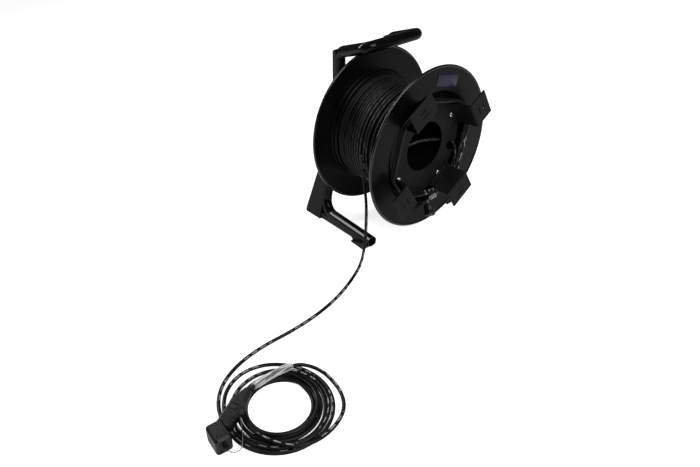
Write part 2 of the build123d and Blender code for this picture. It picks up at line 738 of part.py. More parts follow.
with BuildPart() as clear_sleeve:
    with BuildLine():
        FilletPolyline(SLEEVE_START, END_ROUTE[3], SLEEVE_END, radius=end_radii[2])
    with BuildSketch(Plane(origin=SLEEVE_START, z_dir=SLEEVE_RUN)):
        Circle(SLEEVE_R)
        Circle(CABLE_D / 2 + SEAT, mode=Mode.SUBTRACT)
    sweep()
clear_sleeve.part.label = "clear_sleeve"
export_step(clear_sleeve.part, "parts/clear_sleeve.step")

with BuildPart() as connector_boot:
    with BuildSketch(BOOT_PLANE):
        Circle(SLEEVE_R + 0.6)
    with BuildSketch(BOOT_PLANE.offset(BOOT_LENGTH * 0.75)):
        RectangleRounded(2 * BODY_HALF_WIDTH + 2, 2 * BODY_HALF_HEIGHT, 5)
    loft()
    with BuildSketch(BOOT_PLANE.offset(BOOT_LENGTH * 0.75)):
        RectangleRounded(2 * BODY_HALF_WIDTH + 2, 2 * BODY_HALF_HEIGHT, 5)
    extrude(amount=BOOT_LENGTH * 0.25)
connector_boot.part.label = "connector_boot"
export_step(connector_boot.part, "parts/connector_boot.step")

with BuildPart() as connector_body:
    with BuildSketch(BODY_PLANE):
        RectangleRounded(2 * BODY_HALF_WIDTH, 2 * BODY_HALF_HEIGHT - 2, 3)
    extrude(amount=BODY_LENGTH)
connector_body.part.label = "connector_body"
export_step(connector_body.part, "parts/connector_body.step")

CAP_ACROSS = Vector(-0.12, -1, 0).normalized()
CAP_CENTRE = laid(-5.76, -2.34, 0)

with BuildPart() as dust_cap:
    with BuildSketch(Plane(origin=CAP_CENTRE, x_dir=CAP_ACROSS, z_dir=(0, 0, 1))):
        RectangleRounded(2 * CAP_HALF_WIDTH, CAP_LENGTH, 5)
    extrude(amount=2 * CAP_HALF_HEIGHT)
    chamfer(dust_cap.faces().sort_by(Axis.Z)[-1].edges(), 3)
    with BuildSketch(BODY_PLANE):
        RectangleRounded(2 * (BODY_HALF_WIDTH + SEAT), 2 * (BODY_HALF_HEIGHT + SEAT) - 2, 3)
    extrude(amount=BODY_LENGTH + SEAT, mode=Mode.SUBTRACT)
    nub_face = CAP_CENTRE + CAP_ACROSS * (CAP_HALF_WIDTH - 1) + UP * CAP_HALF_HEIGHT
    with BuildSketch(Plane(origin=nub_face, z_dir=CAP_ACROSS)):
        Circle(NUB_R)
    extrude(amount=NUB_LENGTH + 1)
dust_cap.part.label = "dust_cap"
export_step(dust_cap.part, "parts/dust_cap.step")

NUB_END = nub_face + CAP_ACROSS * (NUB_LENGTH + 1 + LANYARD_R)
LANYARD_ROUTE = [
    NUB_END,
    NUB_END + Vector(0.5, -0.9, -0.4) * NUB_LENGTH,
    NUB_END + Vector(2, -0.9, -0.6) * NUB_LENGTH,
    NUB_END + Vector(3.2, 0.5, -0.25) * NUB_LENGTH,
    BODY_PLANE.from_local_coords(Vector(BODY_HALF_WIDTH + 6, 0, BODY_LENGTH / 2)),
    BODY_PLANE.from_local_coords(Vector(BODY_HALF_WIDTH + LANYARD_R, 0, BODY_LENGTH / 3)),
]

with BuildPart() as cap_lanyard:
    with BuildLine() as lanyard_path:
        FilletPolyline(*LANYARD_ROUTE, radius=route_radii(LANYARD_ROUTE))
    with BuildSketch(Plane(origin=NUB_END, z_dir=lanyard_path.line % 0)):
        Circle(LANYARD_R)
    sweep()
cap_lanyard.part.label = "cap_lanyard"
export_step(cap_lanyard.part, "parts/cap_lanyard.step")
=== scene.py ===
from math import cos, exp, pi, radians, sin

import bmesh
import bpy
from mathutils import Matrix, Vector


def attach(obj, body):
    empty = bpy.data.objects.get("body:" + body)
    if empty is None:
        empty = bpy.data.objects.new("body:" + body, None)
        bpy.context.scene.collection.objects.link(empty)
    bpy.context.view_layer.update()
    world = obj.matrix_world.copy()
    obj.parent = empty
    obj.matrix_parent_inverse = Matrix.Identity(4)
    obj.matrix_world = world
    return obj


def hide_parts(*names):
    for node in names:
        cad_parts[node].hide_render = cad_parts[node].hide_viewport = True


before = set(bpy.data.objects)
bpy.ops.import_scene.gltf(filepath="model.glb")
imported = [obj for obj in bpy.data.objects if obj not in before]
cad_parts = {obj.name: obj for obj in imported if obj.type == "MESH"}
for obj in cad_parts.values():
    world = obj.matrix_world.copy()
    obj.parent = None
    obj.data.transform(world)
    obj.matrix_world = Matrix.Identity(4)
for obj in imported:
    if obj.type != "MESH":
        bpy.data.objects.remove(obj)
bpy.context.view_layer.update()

UP = Vector((0, 0, 1))
DRUM = Vector((0, -0.01455, 0.177))
CABLE_MM = 5.7
CABLE_R = CABLE_MM / 2000

# How high the middle of a cable lies when it is on the floor, in millimetres.
LYING = CABLE_MM / 2


def at(x, y, z):
    """A point in millimetres from the drum's centre, as metres in the row frame."""
    return DRUM + Vector((x, y, z)) / 1000


def on_floor(x, y, z):
    """A point in millimetres, from the drum's centre in X and Y and from the floor in Z."""
    return Vector((x / 1000, y / 1000 + DRUM.y, z / 1000))


def frame_at(origin, across, outwards):
    """A place whose z points outwards and whose x points as near to across as it can."""
    outwards = outwards.normalized()
    across = (across - across.dot(outwards) * outwards).normalized()
    turned = Matrix((across, outwards.cross(across), outwards)).transposed()
    return Matrix.Translation(origin) @ turned.to_4x4()


# Materials

WHITE = (1, 1, 1, 1)

# The sockets of the mix node that take and give colours.
MIX_COLOURS = (6, 7)
MIX_RESULT = 2


def grey(level, blue=0.0005):
    """A grey or black of this level, with a trace of blue."""
    return (level, level, level + blue)


class Finish:
    """A node material under construction, with one surface shader.

    Extra values name the shader's sockets, with an underscore for each space.
    """

    def __init__(self, name, colour, roughness, **values):
        self.material = bpy.data.materials.new(name)
        self.material.use_nodes = True
        self.tree = self.material.node_tree
        self.shader = self.tree.nodes["Principled BSDF"]
        self.shader.inputs["Base Color"].default_value = (*colour, 1)
        self.shader.inputs["Roughness"].default_value = roughness
        for socket, value in values.items():
            self.shader.inputs[socket.replace("_", " ")].default_value = value

    def node(self, kind, **settings):
        node = self.tree.nodes.new(kind)
        for key, value in settings.items():
            setattr(node, key, value)
        return node

    def link(self, source, target):
        self.tree.links.new(source, target)

    def coordinates(self, kind="Object"):
        """Coordinates that stay with the surface."""
        return self.node("ShaderNodeTexCoord").outputs[kind]

    def parts(self, vector):
        """The X, Y and Z of a vector."""
        split = self.node("ShaderNodeSeparateXYZ")
        self.link(vector, split.inputs["Vector"])
        return split.outputs["X"], split.outputs["Y"], split.outputs["Z"]

    def noise(self, size, detail=3.0, squeeze=(1, 1, 1)):
        """Noise from 0 to 1. Its patches measure about size in metres, divided by squeeze."""
        mapping = self.node("ShaderNodeMapping")
        mapping.inputs["Scale"].default_value = squeeze
        self.link(self.coordinates(), mapping.inputs["Vector"])
        noise = self.node("ShaderNodeTexNoise")
        noise.inputs["Scale"].default_value = 1 / size
        noise.inputs["Detail"].default_value = detail
        self.link(mapping.outputs["Vector"], noise.inputs["Vector"])
        return noise.outputs["Fac"]

    def math(self, operation, first, second=0.0, third=0.0):
        node = self.node("ShaderNodeMath", operation=operation)
        for socket, value in zip(node.inputs, (first, second, third)):
            if isinstance(value, (int, float)):
                socket.default_value = value
            else:
                self.link(value, socket)
        return node.outputs[0]

    def product(self, first, *others):
        for other in others:
            first = self.math("MULTIPLY", first, other)
        return first

    def between(self, value, low, high, to_low=0.0, to_high=1.0):
        """Maps a value from low to high onto another range, clamped."""
        node = self.node("ShaderNodeMapRange")
        limits = {"From Min": low, "From Max": high, "To Min": to_low, "To Max": to_high}
        for socket, limit in limits.items():
            node.inputs[socket].default_value = limit
        self.link(value, node.inputs["Value"])
        return node.outputs["Result"]

    def mix(self, factor, first, second):
        """A blend of two colours; each is a tuple or another node's colour."""
        node = self.node("ShaderNodeMix", data_type="RGBA")
        self.link(factor, node.inputs["Factor"])
        for index, colour in zip(MIX_COLOURS, (first, second)):
            if isinstance(colour, tuple):
                node.inputs[index].default_value = (*colour, 1)
            else:
                self.link(colour, node.inputs[index])
        return node.outputs[MIX_RESULT]

    def mottled(self, cloud, dark, light):
        """A colour that drifts from dark to light with a cloud of noise."""
        return self.mix(self.between(cloud, 0.35, 0.65), dark, light)

    def colour(self, source):
        self.link(source, self.shader.inputs["Base Color"])

    def roughness(self, source, low, high):
        self.link(self.between(source, 0.3, 0.7, low, high), self.shader.inputs["Roughness"])

    def bump(self, height, depth):
        """Relief that is depth in metres where height goes from 0 to 1."""
        bump = self.node("ShaderNodeBump")
        bump.inputs["Distance"].default_value = depth
        self.link(height, bump.inputs["Height"])
        self.link(bump.outputs["Normal"], self.shader.inputs["Normal"])


def paint(name, dark, light, rough, peel, depth, dust=0.0, **values):
    """Black paint with orange peel, cloudy gloss, fine scratches and a little dust."""
    finish = Finish(name, dark, rough[0], **values)
    cloud = finish.noise(0.06)
    lines = finish.noise(0.004, detail=2.0, squeeze=(1, 12, 1))
    scratches = finish.between(lines, 0.68, 0.74, to_high=0.25)
    specks = finish.between(finish.noise(0.0012, detail=1.0), 0.72, 0.8, to_high=dust)
    worn_colour = tuple(5 * part + 0.03 for part in light)
    worn = finish.math("MAXIMUM", scratches, specks)
    finish.colour(finish.mix(worn, finish.mottled(cloud, dark, light), worn_colour))
    finish.roughness(cloud, *rough)
    finish.bump(finish.noise(peel, detail=2.0), depth)
    return finish.material


def moulded(name, dark, light, rough, grain, depth, **values):
    """Moulded plastic or rubber with a fine grain and faint handling marks."""
    finish = Finish(name, dark, rough[0], **values)
    cloud = finish.noise(0.03, detail=4.0)
    marks = finish.noise(0.006, detail=2.0, squeeze=(1, 1, 8))
    scuffs = finish.between(marks, 0.66, 0.75, to_high=0.3)
    scuffed_colour = tuple(2.5 * part + 0.02 for part in light)
    finish.colour(finish.mix(scuffs, finish.mottled(cloud, dark, light), scuffed_colour))
    finish.roughness(cloud, *rough)
    finish.bump(finish.noise(grain), depth)
    return finish.material


def metal(name, dark, light, rough):
    """Bare metal with fine turning marks and slight tarnish."""
    finish = Finish(name, light, rough[0], Metallic=1.0)
    finish.colour(finish.mottled(finish.noise(0.01, detail=4.0), dark, light))
    marks = finish.noise(0.001, detail=2.0)
    finish.roughness(marks, *rough)
    finish.bump(marks, 0.00003)
    return finish.material


JACKET_GRAIN = 0.0008
JACKET_GRAIN_DEPTH = 0.00004

# The print is broken lines of dashes. Its side and half width count in turns round the cable, and it
# drifts by so many turns in a metre.
LINES_PER_METRE = 11.0
LINE_SHARE = 0.6
DASHES_PER_METRE = 60.0
DASH_SHARE = 0.62
PRINT_HALF_WIDTH = 0.055
PRINT_SIDE = 0.62
PRINT_DRIFT = -0.04


def jacket(name, plain, ink):
    """Cable jacket with worn dashes along it, but none between two distances in metres.

    Its surface coordinates run in metres along the cable and once round it.
    """
    finish = Finish(name, grey(0.008, 0.001), 0.4, Specular_IOR_Level=0.2)
    along, around, _ = finish.parts(finish.coordinates("UV"))
    line = finish.math("FRACT", finish.math("MULTIPLY", along, LINES_PER_METRE))
    dash = finish.math("FRACT", finish.math("MULTIPLY", along, DASHES_PER_METRE))
    drift = finish.math("MULTIPLY_ADD", along, PRINT_DRIFT, PRINT_SIDE)
    turned = finish.math("FRACT", finish.math("ADD", around, drift))
    off_line = finish.math("ABSOLUTE", finish.math("SUBTRACT", turned, 0.5))
    before = finish.math("LESS_THAN", along, plain[0])
    legend = finish.product(
        finish.math("LESS_THAN", line, LINE_SHARE),
        finish.math("LESS_THAN", dash, DASH_SHARE),
        finish.math("LESS_THAN", off_line, PRINT_HALF_WIDTH),
        finish.math("MAXIMUM", before, finish.math("GREATER_THAN", along, plain[1])),
        finish.between(finish.noise(0.0015, detail=1.0), 0.3, 0.6),
    )
    cloud = finish.noise(0.02, detail=4.0)
    base = finish.mottled(cloud, grey(0.004, 0.001), grey(0.010, 0.002))
    finish.colour(finish.mix(legend, base, grey(ink, 0.0)))
    finish.roughness(cloud, 0.34, 0.5)
    finish.bump(finish.noise(JACKET_GRAIN, detail=2.0), JACKET_GRAIN_DEPTH)
    return finish.material


def jacket_with_painted_glints(name):
    """The inner cable, with painted glints on its lower right part: light grey patches in its colour that
    stand in for the reflections of a clear film.
    """
    finish = Finish(name, grey(0.006, 0.001), 0.36, Specular_IOR_Level=0.25)
    across, _, height = finish.parts(finish.coordinates())
    # Painted highlight: light grey glints mixed into the base colour where the object coordinates put the
    # cable on the lower right, broken up by stretched noise.
    glints = finish.product(
        finish.between(across, -0.015, 0.0),
        finish.between(height, 0.185, 0.165),
        finish.between(finish.noise(0.004, detail=1.0, squeeze=(1, 1, 0.35)), 0.56, 0.64),
    )
    base = finish.mottled(finish.noise(0.02, detail=4.0), grey(0.004, 0.001), grey(0.010, 0.002))
    finish.colour(finish.mix(glints, base, (0.32, 0.33, 0.35)))
    finish.bump(finish.noise(JACKET_GRAIN, detail=2.0), JACKET_GRAIN_DEPTH)
    return finish.material


def clear(name):
    """Thin clear sleeve: more solid where it is seen edge on, with soft streaks along it."""
    finish = Finish(name, (0.86, 0.88, 0.9), 0.14, IOR=1.45)
    streaks = finish.noise(0.005, detail=1.0, squeeze=(0.2, 1.5, 1.5))
    finish.colour(finish.mix(finish.between(streaks, 0.4, 0.6), (0.7, 0.72, 0.75), (0.95, 0.95, 0.96)))
    edge = finish.node("ShaderNodeLayerWeight")
    solid = finish.between(edge.outputs["Facing"], 0.25, 0.95, to_low=0.1, to_high=0.6)
    cloudy = finish.between(streaks, 0.5, 0.62, to_high=0.4)
    finish.link(finish.math("ADD", solid, cloudy), finish.shader.inputs["Alpha"])
    finish.bump(streaks, 0.0004)
    return finish.material


GLOSS_PAINT = paint(
    "gloss_paint", dark=grey(0.002), light=grey(0.004), rough=(0.10, 0.18), peel=0.004, depth=0.00002,
    Coat_Weight=0.25, Coat_Roughness=0.03, Specular_IOR_Level=0.04,
)
SATIN_PAINT = paint(
    "satin_paint", dark=grey(0.002), light=grey(0.005), rough=(0.24, 0.34), peel=0.002, depth=0.00003,
    dust=0.05, Specular_IOR_Level=0.11,
)
GREY_PAINT = paint(
    "grey_paint", dark=grey(0.005), light=grey(0.010), rough=(0.46, 0.58), peel=0.0015, depth=0.00004,
    dust=0.1, Specular_IOR_Level=0.12,
)
RIM_PAINT = paint(
    "rim_paint", dark=grey(0.002), light=grey(0.006), rough=(0.2, 0.3), peel=0.006, depth=0.00001,
    Coat_Weight=0.6, Coat_Roughness=0.12, Specular_IOR_Level=0.25,
)
PLATE = paint(
    "plate_face", dark=(0.006, 0.007, 0.024), light=(0.01, 0.012, 0.04), rough=(0.2, 0.3), peel=0.002,
    depth=0.00002, Specular_IOR_Level=0.4,
)
GUARD = moulded(
    "guard_plastic", dark=grey(0.002), light=grey(0.005), rough=(0.36, 0.48), grain=0.0009, depth=0.00006,
    Specular_IOR_Level=0.16,
)
BOOT = moulded(
    "boot_rubber", dark=(0.012, 0.010, 0.011), light=(0.020, 0.017, 0.018), rough=(0.5, 0.65),
    grain=0.0008, depth=0.00006, Specular_IOR_Level=0.3,
)
SHELL = moulded(
    "shell_plastic", dark=grey(0.004, 0.001), light=grey(0.010, 0.001), rough=(0.3, 0.44), grain=0.0008,
    depth=0.00004, Specular_IOR_Level=0.25,
)
STEEL = metal("bare_steel", dark=grey(0.30, 0.01), light=grey(0.55, 0.01), rough=(0.25, 0.4))
SCREW = metal("bright_screw", dark=grey(0.72, 0.01), light=grey(0.9, 0.0), rough=(0.12, 0.25))
JACKET = jacket("cable_jacket", plain=(1.6, 3.2), ink=0.42)
WOUND_JACKET = jacket("wound_jacket", plain=(100, 200), ink=0.07)
TAIL_JACKET = jacket_with_painted_glints("tail_jacket")
CLEAR = clear("clear_plastic")

NODE_FINISH = {
    "frame_tube": GLOSS_PAINT,
    "left_guard": GUARD,
    "right_guard": GUARD,
    "cross_plate": SATIN_PAINT,
    "axle": STEEL,
    "axle_nut": STEEL,
    "retaining_ring": STEEL,
    "connector_boot": BOOT,
    "connector_body": SHELL,
    "dust_cap": SHELL,
    "cap_lanyard": STEEL,
    "front_flange": SATIN_PAINT,
    "rear_flange": SATIN_PAINT,
    "barrel": SATIN_PAINT,
    "hub": STEEL,
    "tail_holder": GREY_PAINT,
    "inner_tail": TAIL_JACKET,
    "tail_sleeve": CLEAR,
}
for number in range(1, 5):
    NODE_FINISH[f"holder_screw_{number}"] = SCREW
    NODE_FINISH[f"holder_spacer_{number}"] = SHELL

for name, material in NODE_FINISH.items():
    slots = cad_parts[name].material_slots
    if slots:
        for slot in slots:
            slot.material = material
    else:
        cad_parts[name].data.materials.append(material)


# Building helpers


def add_mesh(name, mesh, material, body, replaced=()):
    """Makes a piece that rides on a body, with its finish and the nodes that it stands for."""
    piece = bpy.data.objects.new(name, mesh)
    bpy.context.scene.collection.objects.link(piece)
    mesh.materials.append(material)
    for polygon in mesh.polygons:
        polygon.use_smooth = True
    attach(piece, body)
    if replaced:
        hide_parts(*replaced)
    return piece


def skin(mesh, rings, capped=True):
    """Joins rings of vertices one to the next, and closes both ends if capped. Gives the side faces."""
    sides = len(rings[0])
    faces = []
    for ring, following in zip(rings, rings[1:]):
        for step in range(sides):
            after = (step + 1) % sides
            faces.append(mesh.faces.new((ring[step], ring[after], following[after], following[step])))
    if capped:
        mesh.faces.new(list(reversed(rings[0])))
        mesh.faces.new(rings[-1])
    return faces


def finished(mesh, name):
    """Turns the faces outwards and gives the mesh as data for a piece."""
    bmesh.ops.recalc_face_normals(mesh, faces=mesh.faces)
    data = bpy.data.meshes.new(name)
    mesh.to_mesh(data)
    mesh.free()
    return data


# How far the printed side of a tube turns from ring to ring at most, in radians, and how far the
# direction that it is to face has to lean away from the tube's own line to count.
MOST_SWING = 0.1
LEAST_LEANING = 0.4


def swing_towards(normal, heading, wanted):
    """The turn about heading, up to a limit, that brings normal nearer to a wanted direction."""
    wanted = wanted - wanted.dot(heading) * heading
    if wanted.length <= LEAST_LEANING:
        return 0.0
    swing = min(MOST_SWING, normal.angle(wanted))
    return -swing if heading.dot(normal.cross(wanted)) < 0 else swing


def tube_mesh(name, points, radius, sides, capped=True, facing=lambda point: UP):
    """A tube along points. Its surface coordinates run in metres along it and once round it.

    The radius is a number or a function of the place along the tube from 0 to 1. Facing gives the
    direction at a point that the tube's printed side turns to, a little at each ring.
    """
    radius_at = radius if callable(radius) else lambda place: radius
    travelled = [0.0]
    for before, after in zip(points, points[1:]):
        travelled.append(travelled[-1] + (after - before).length)
    mesh = bmesh.new()
    coordinates = mesh.loops.layers.uv.new("UVMap")
    rings = []
    heading = (points[1] - points[0]).normalized()
    normal = heading.orthogonal().normalized()
    for index, point in enumerate(points):
        before = points[max(0, index - 1)]
        after = points[min(len(points) - 1, index + 1)]
        new_heading = (after - before).normalized()
        normal.rotate(heading.rotation_difference(new_heading))
        heading = new_heading
        normal.rotate(Matrix.Rotation(swing_towards(normal, heading, facing(point)), 3, heading))
        side = heading.cross(normal)
        size = radius_at(travelled[index] / travelled[-1])
        rings.append([
            mesh.verts.new(point + size * (cos(turn) * normal + sin(turn) * side))
            for turn in (2 * pi * step / sides for step in range(sides))
        ])
    for number, face in enumerate(skin(mesh, rings, capped)):
        index, step = divmod(number, sides)
        start, end = travelled[index], travelled[index + 1]
        low, high = step / sides, (step + 1) / sides
        for loop, place in zip(face.loops, ((start, low), (start, high), (end, high), (end, low))):
            loop[coordinates].uv = place
    return finished(mesh, name)


CORNER_STEPS = 4
EDGE_SHARE = 0.4


def bar_mesh(name, width, height, depth, corner, place):
    """A flat bar with rounded corners and softened edges. Its back lies on the plane of place."""
    outline = []
    for quarter, (sign_x, sign_y) in enumerate(((1, 1), (-1, 1), (-1, -1), (1, -1))):
        for step in range(CORNER_STEPS + 1):
            turn = (quarter + step / CORNER_STEPS) * pi / 2
            x = sign_x * (width / 2 - corner) + corner * cos(turn)
            y = sign_y * (height / 2 - corner) + corner * sin(turn)
            outline.append((x, y))
    soft = EDGE_SHARE * min(depth, corner)
    mesh = bmesh.new()
    rings = []
    for inset, level in ((0, 0), (0, depth - soft), (soft * 0.3, depth - soft * 0.3), (soft, depth)):
        shrink_x = 1 - 2 * inset / width
        shrink_y = 1 - 2 * inset / height
        rings.append([
            mesh.verts.new(place @ Vector((x * shrink_x, y * shrink_y, level))) for x, y in outline
        ])
    skin(mesh, rings)
    return finished(mesh, name)


def turned_mesh(name, profile, start, axis, sides, ribs=0, rib_depth=0.0):
    """A turned piece from the points of its profile, with ribs along it if asked.

    Each point has its distance along the axis, its radius, and whether the ribs are cut there.
    """
    side = axis.orthogonal().normalized()
    other = axis.cross(side)
    mesh = bmesh.new()
    rings = []
    for along, radius, ribbed in profile:
        ring = []
        for step in range(sides):
            turn = 2 * pi * step / sides
            cut = rib_depth * (0.5 + 0.5 * cos(ribs * turn)) if ribbed else 0
            spoke = cos(turn) * side + sin(turn) * other
            ring.append(mesh.verts.new(start + along * axis + (radius - cut) * spoke))
        rings.append(ring)
    skin(mesh, rings)
    return finished(mesh, name)


def spline_points(name, controls, resolution):
    """Points of the smooth curve that has these control points."""
    curve = bpy.data.curves.new(name, "CURVE")
    curve.dimensions = "3D"
    spline = curve.splines.new("NURBS")
    spline.points.add(len(controls) - 1)
    for target, control in zip(spline.points, controls):
        target.co = (*control, 1)
    spline.order_u = 3
    spline.use_endpoint_u = True
    spline.resolution_u = resolution
    holder = bpy.data.objects.new(name, curve)
    bpy.context.scene.collection.objects.link(holder)
    line = bpy.data.meshes.new_from_object(holder)
    points = [vertex.co.copy() for vertex in line.vertices]
    bpy.data.objects.remove(holder)
    return points


# Loose cable: from the winding over the floor, round the coil and on to the connector

FREE_ROUTE = [
    at(-108.25, -7, 0),
    at(-108.25, -12, -44),
    at(-122, -35, -82),
    at(-140, -54, -115),
    at(-153, -65, -149),
    on_floor(-173, -77, LYING),
    on_floor(-210, -97, LYING),
    on_floor(-262, -118, LYING),
    on_floor(-318, -130, LYING),
    on_floor(-377, -133, LYING),
    on_floor(-430, -129, LYING),
    on_floor(-480, -134, LYING),
    on_floor(-522, -152, LYING),
    on_floor(-549, -183, LYING),
]

COIL_X, COIL_Y = -477.0, -240.0
COIL_START = 168.0
STEPS_PER_TURN = 15
LOWER_TURNS = 5.6
UPPER_TURNS = 1.4

# The coil's inner edge is a little longer towards one side.
INNER_R = 45.85
INNER_LONGER = 6.3
LONGER_TOWARDS = 198

# How far apart the turns lie, where the upper ones start, how much higher they are, and the climb.
LAYING = 5.8
UPPER_LAYING = 1.15 * LAYING
UPPER_START = 0.3 * LAYING
NESTLED = 4.9
CLIMB_EARLY = 0.2
CLIMB_TURNS = 0.25

# Where the lower turns lie looser: how far out, at what angle along the coil, and over what angle.
LOOSE_PLACES = ((17, 460, 50), (6, 825, 60), (3.5, 990, 28), (1.4, 172, 30))


def coil_place(angle, radius, height):
    """A point of the coil from its angle, its distance from the middle and its height."""
    return on_floor(COIL_X + radius * cos(radians(angle)), COIL_Y + radius * sin(radians(angle)), height)


def coil_point(turns):
    """A point of the coil after so many turns: inwards on the floor, then outwards on top."""
    angle = COIL_START + 360 * turns
    inner = INNER_R + INNER_LONGER * cos(radians(angle - LONGER_TOWARDS))
    if turns < LOWER_TURNS:
        loose = sum(out * exp(-(((angle - middle) / spread) ** 2)) for out, middle, spread in LOOSE_PLACES)
        radius = inner + LAYING * (LOWER_TURNS - CLIMB_EARLY - turns) + loose
    else:
        radius = inner + UPPER_START + UPPER_LAYING * (turns - LOWER_TURNS)
    wobble = 0.35 * sin(1.7 * radians(angle)) + 0.3 * sin(0.37 * radians(angle))
    climbed = min(1.0, max(0.0, (turns - LOWER_TURNS + CLIMB_EARLY) / CLIMB_TURNS))
    climbed = climbed * climbed * (3 - 2 * climbed)
    return coil_place(angle, radius + wobble, LYING + NESTLED * climbed)


COIL_ROUTE = [
    coil_point(step / STEPS_PER_TURN) for step in range(int((LOWER_TURNS + UPPER_TURNS) * STEPS_PER_TURN))
]
LAST_TURN = [
    coil_place(182, 60.5, 8.4),
    coil_place(203, 62.5, 8.6),
    coil_place(223, 67.5, 8.7),
    coil_place(240, 75.5, 8.7),
    coil_place(255, 80, 7.5),
    coil_place(272, 80.5, 3.4),
    coil_place(290, 83, LYING),
    coil_place(306, 86, LYING),
    coil_place(320, 86, LYING),
    coil_place(336, 83, LYING),
    coil_place(351, 80, 2.9),
]
BOOT_REAR = on_floor(-508, -203, 23.4)
END_ROUTE = [
    on_floor(-397, -233, 3.42),
    on_floor(-408, -213, 9.12),
    on_floor(-427, -202, 16.6),
    on_floor(-478, -198, 20.4),
    BOOT_REAR,
]

cable_path = spline_points("cable_line", FREE_ROUTE + COIL_ROUTE + LAST_TURN + END_ROUTE, resolution=6)
cable = add_mesh(
    "loose_cable",
    tube_mesh("loose_cable", cable_path, CABLE_R, sides=12),
    JACKET,
    "frame",
    ("free_cable", "cable_coil", "cable_end"),
)


# Clear sleeve: it follows the cable's own line where the end rises to the boot, and stops short of it

SLEEVE_ABOVE = 0.0155
SLEEVE_WALL = 0.0007
SLEEVE_R = 0.0049
SLEEVE_UNEVEN = 0.00025
SLEEVE_PINCH = 0.0006
sleeve_path = [point for point in cable_path[len(cable_path) // 2:] if point.z > SLEEVE_ABOVE][:-1]


def sleeve_radius(place):
    """The sleeve is a little pinched at both ends and uneven along it."""
    return SLEEVE_R + SLEEVE_UNEVEN * sin(9 * place) - SLEEVE_PINCH * (2 * place - 1) ** 8


sleeve = add_mesh(
    "end_sleeve",
    tube_mesh("end_sleeve", sleeve_path, sleeve_radius, sides=20, capped=False),
    CLEAR,
    "frame",
    ("clear_sleeve",),
)
wall = sleeve.modifiers.new("wall", "SOLIDIFY")
wall.thickness = SLEEVE_WALL
wall.offset = 1


# Winding: turn beside turn, layer on layer, as one long run of cable

BARREL_R = 62.6
LAYER = 5.3
WIND_FRONT = -49.4
WIND_REAR = 63.4
WIND_START = -pi / 3
WIND_STEPS = 60
WIND_CLIMB = 0.2
SETTLED = 0.7

# Each layer's number from the barrel, its turns, and how many of them fill the front half.
LAYERS = ((5, 20, 10), (6, 20, 10), (7, 15, 6))


def winding_points():
    """The three outermost layers, wound back and forth. The last one lies loose towards the front.

    Odd layers run from the front to the rear and even ones back, and each last turn stays at its
    flange. A later layer starts level with the one below and climbs in the first part of a turn.
    """
    points = []
    first, last = WIND_FRONT + CABLE_MM / 2, WIND_REAR - CABLE_MM / 2
    for layer, turns, front_turns in LAYERS:
        radius = BARREL_R + CABLE_MM / 2 + LAYER * layer - SETTLED
        for step in range(turns * WIND_STEPS + 1):
            turn = step / WIND_STEPS
            wound = min(turn, turns - 1) if layer % 2 else max(turns - 1 - turn, 0)
            if wound < front_turns:
                share = 0.5 * wound / front_turns
            else:
                share = 0.5 + 0.5 * (wound - front_turns) / (turns - 1 - front_turns)
            sway = (0.8 * sin(2.1 * turn) + 0.5 * sin(5.3 * turn + 1)) * sin(pi * share)
            y = min(last, max(first, first + share * (last - first) + sway))
            climb = LAYER * max(0, 1 - turn / WIND_CLIMB) if points else 0
            lift = 0.5 * sin(3.7 * turn) + 0.35 * sin(9.1 * turn) - climb
            angle = 2 * pi * turn + WIND_START
            points.append(at((radius + lift) * cos(angle), y, (radius + lift) * sin(angle)))
    return points


def from_axis(point):
    """The direction away from the drum's axis."""
    return Vector((point.x - DRUM.x, 0, point.z - DRUM.z)).normalized()


add_mesh(
    "winding_turns",
    tube_mesh("winding_turns", winding_points(), CABLE_R, sides=8, facing=from_axis),
    WOUND_JACKET,
    "drum",
    ("winding",),
)


# Drum's trim: glossy rolled rims and a bare plate

RIM_Y = 75.0
RIM_CIRCLE_R = 152.6
RIM_BEAD_R = 0.00245
RIM_STEPS = 360
rim_turns = [2 * pi * step / RIM_STEPS for step in range(RIM_STEPS + 1)]
for name, y in (("front_rim", -RIM_Y), ("rear_rim", RIM_Y)):
    circle = [at(RIM_CIRCLE_R * cos(turn), y, RIM_CIRCLE_R * sin(turn)) for turn in rim_turns]
    rim_mesh = tube_mesh(name, circle, RIM_BEAD_R, sides=24, capped=False)
    add_mesh(name, rim_mesh, RIM_PAINT, "drum")

PLATE_ANGLE = radians(76)
PLATE_CIRCLE_R = 127
PLATE_Y = -76
plate_place = frame_at(
    at(PLATE_CIRCLE_R * cos(PLATE_ANGLE), PLATE_Y, PLATE_CIRCLE_R * sin(PLATE_ANGLE)),
    across=Vector((sin(PLATE_ANGLE), 0, -cos(PLATE_ANGLE))),
    outwards=Vector((0, -1, 0)),
)
add_mesh(
    "bare_plate",
    bar_mesh("bare_plate", width=0.056, height=0.021, depth=0.0008, corner=0.002, place=plate_place),
    PLATE,
    "drum",
)


# Inner plug: a ribbed grip, a groove, a ribbed collar and a sunk face with four pins

PLUG_REAR = at(-5.9, -86.5, -112)
PLUG_FRONT = at(-14.4, -100.5, -126.5)
plug_axis = (PLUG_FRONT - PLUG_REAR).normalized()
plug_length = (PLUG_FRONT - PLUG_REAR).length
PLUG_PROFILE = (
    (0, 0.0070, False),
    (0.0006, 0.0088, False),
    (0.0020, 0.0094, True),
    (plug_length * 0.55, 0.0094, True),
    (plug_length * 0.6, 0.0086, False),
    (plug_length * 0.68, 0.0086, False),
    (plug_length * 0.72, 0.0099, True),
    (plug_length - 0.0008, 0.0100, True),
    (plug_length, 0.0094, False),
    (plug_length, 0.0080, False),
    (plug_length - 0.0030, 0.0076, False),
    (plug_length - 0.0030, 0.0052, False),
    (plug_length - 0.0008, 0.0050, False),
    (plug_length - 0.0008, 0.0014, False),
)
add_mesh(
    "inner_plug",
    turned_mesh("inner_plug", PLUG_PROFILE, PLUG_REAR, plug_axis, sides=72, ribs=18, rib_depth=0.0006),
    SHELL,
    "drum",
    ("inner_connector",),
)

